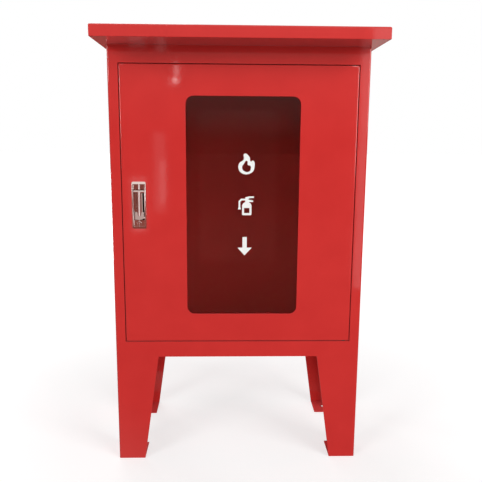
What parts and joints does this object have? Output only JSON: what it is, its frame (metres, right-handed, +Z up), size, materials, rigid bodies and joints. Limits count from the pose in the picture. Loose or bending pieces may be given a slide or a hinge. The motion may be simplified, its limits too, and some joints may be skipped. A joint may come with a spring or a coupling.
{
  "type": "fire extinguisher storage box",
  "caption": "Red sheet-steel cabinet on tapered folded legs, with an overhanging roof and a hinged windowed door, for storing hand fire extinguishers.",
  "frame": {"origin": "on the floor, at the centre of the four anchor holes in the foot plates", "axes": "X to the right seen from the front, Y from the front towards the back, Z up; the door faces -Y"},
  "size_m": [0.42, 0.28, 0.69],
  "materials": {
    "red_enamel": "gloss",
    "zinc_plated_steel": "satin",
    "chrome_plate": "polished",
    "clear_pane": "gloss",
    "black_rubber": "matte",
    "black_nylon": "satin",
    "magnet_steel": "satin"
  },
  "bodies": {
    "cabinet": {"front_frame": "red_enamel", "side_wrap": "red_enamel", "floor_panel": "red_enamel", "top_panel": "red_enamel", "roof_cap": "red_enamel", "roof_base": "red_enamel", "leg_front_left": "red_enamel", "leg_front_right": "red_enamel", "leg_rear_left": "red_enamel", "leg_rear_right": "red_enamel", "leg_bolts": "zinc_plated_steel", "leg_nuts": "zinc_plated_steel", "hinge_plate_top": "zinc_plated_steel", "hinge_plate_bottom": "zinc_plated_steel", "hinge_pin_top": "zinc_plated_steel", "hinge_pin_bottom": "zinc_plated_steel", "catch_case": "black_nylon", "catch_magnet": "magnet_steel", "catch_screws": "zinc_plated_steel", "door_bumpers": "black_rubber"},
    "door": {"door_panel": "red_enamel", "hinge_bush_top": "black_nylon", "hinge_bush_bottom": "black_nylon", "window_gasket": "black_rubber", "window_pane": "clear_pane", "pane_frame": "red_enamel", "pane_studs": "zinc_plated_steel", "pane_nuts": "zinc_plated_steel", "handle_housing": "chrome_plate", "handle_bracket": "zinc_plated_steel", "handle_screws": "zinc_plated_steel", "lever_pin": "zinc_plated_steel", "button_spring": "zinc_plated_steel"},
    "lever": {"handle_lever": "chrome_plate"},
    "button": {"release_button": "chrome_plate"}
  },
  "joints": [
    {"name": "door_swing", "type": "hinge", "parent": "cabinet", "child": "door", "pos_m": [0.174, -0.1, 0.427], "axis": [0, 0, 1], "range_deg": [0, 110]},
    {"name": "lever_pull", "type": "hinge", "parent": "door", "child": "lever", "pos_m": [-0.1565, -0.103, 0.4527], "axis": [-1, 0, 0], "range_deg": [0, 50]},
    {"name": "button_press", "type": "slide", "parent": "door", "child": "button", "axis": [0, 1, 0], "range_m": [0, 0.0025], "stiffness_N_per_m": 400, "springref_m": -0.002, "deforming": ["button_spring"]}
  ]
}
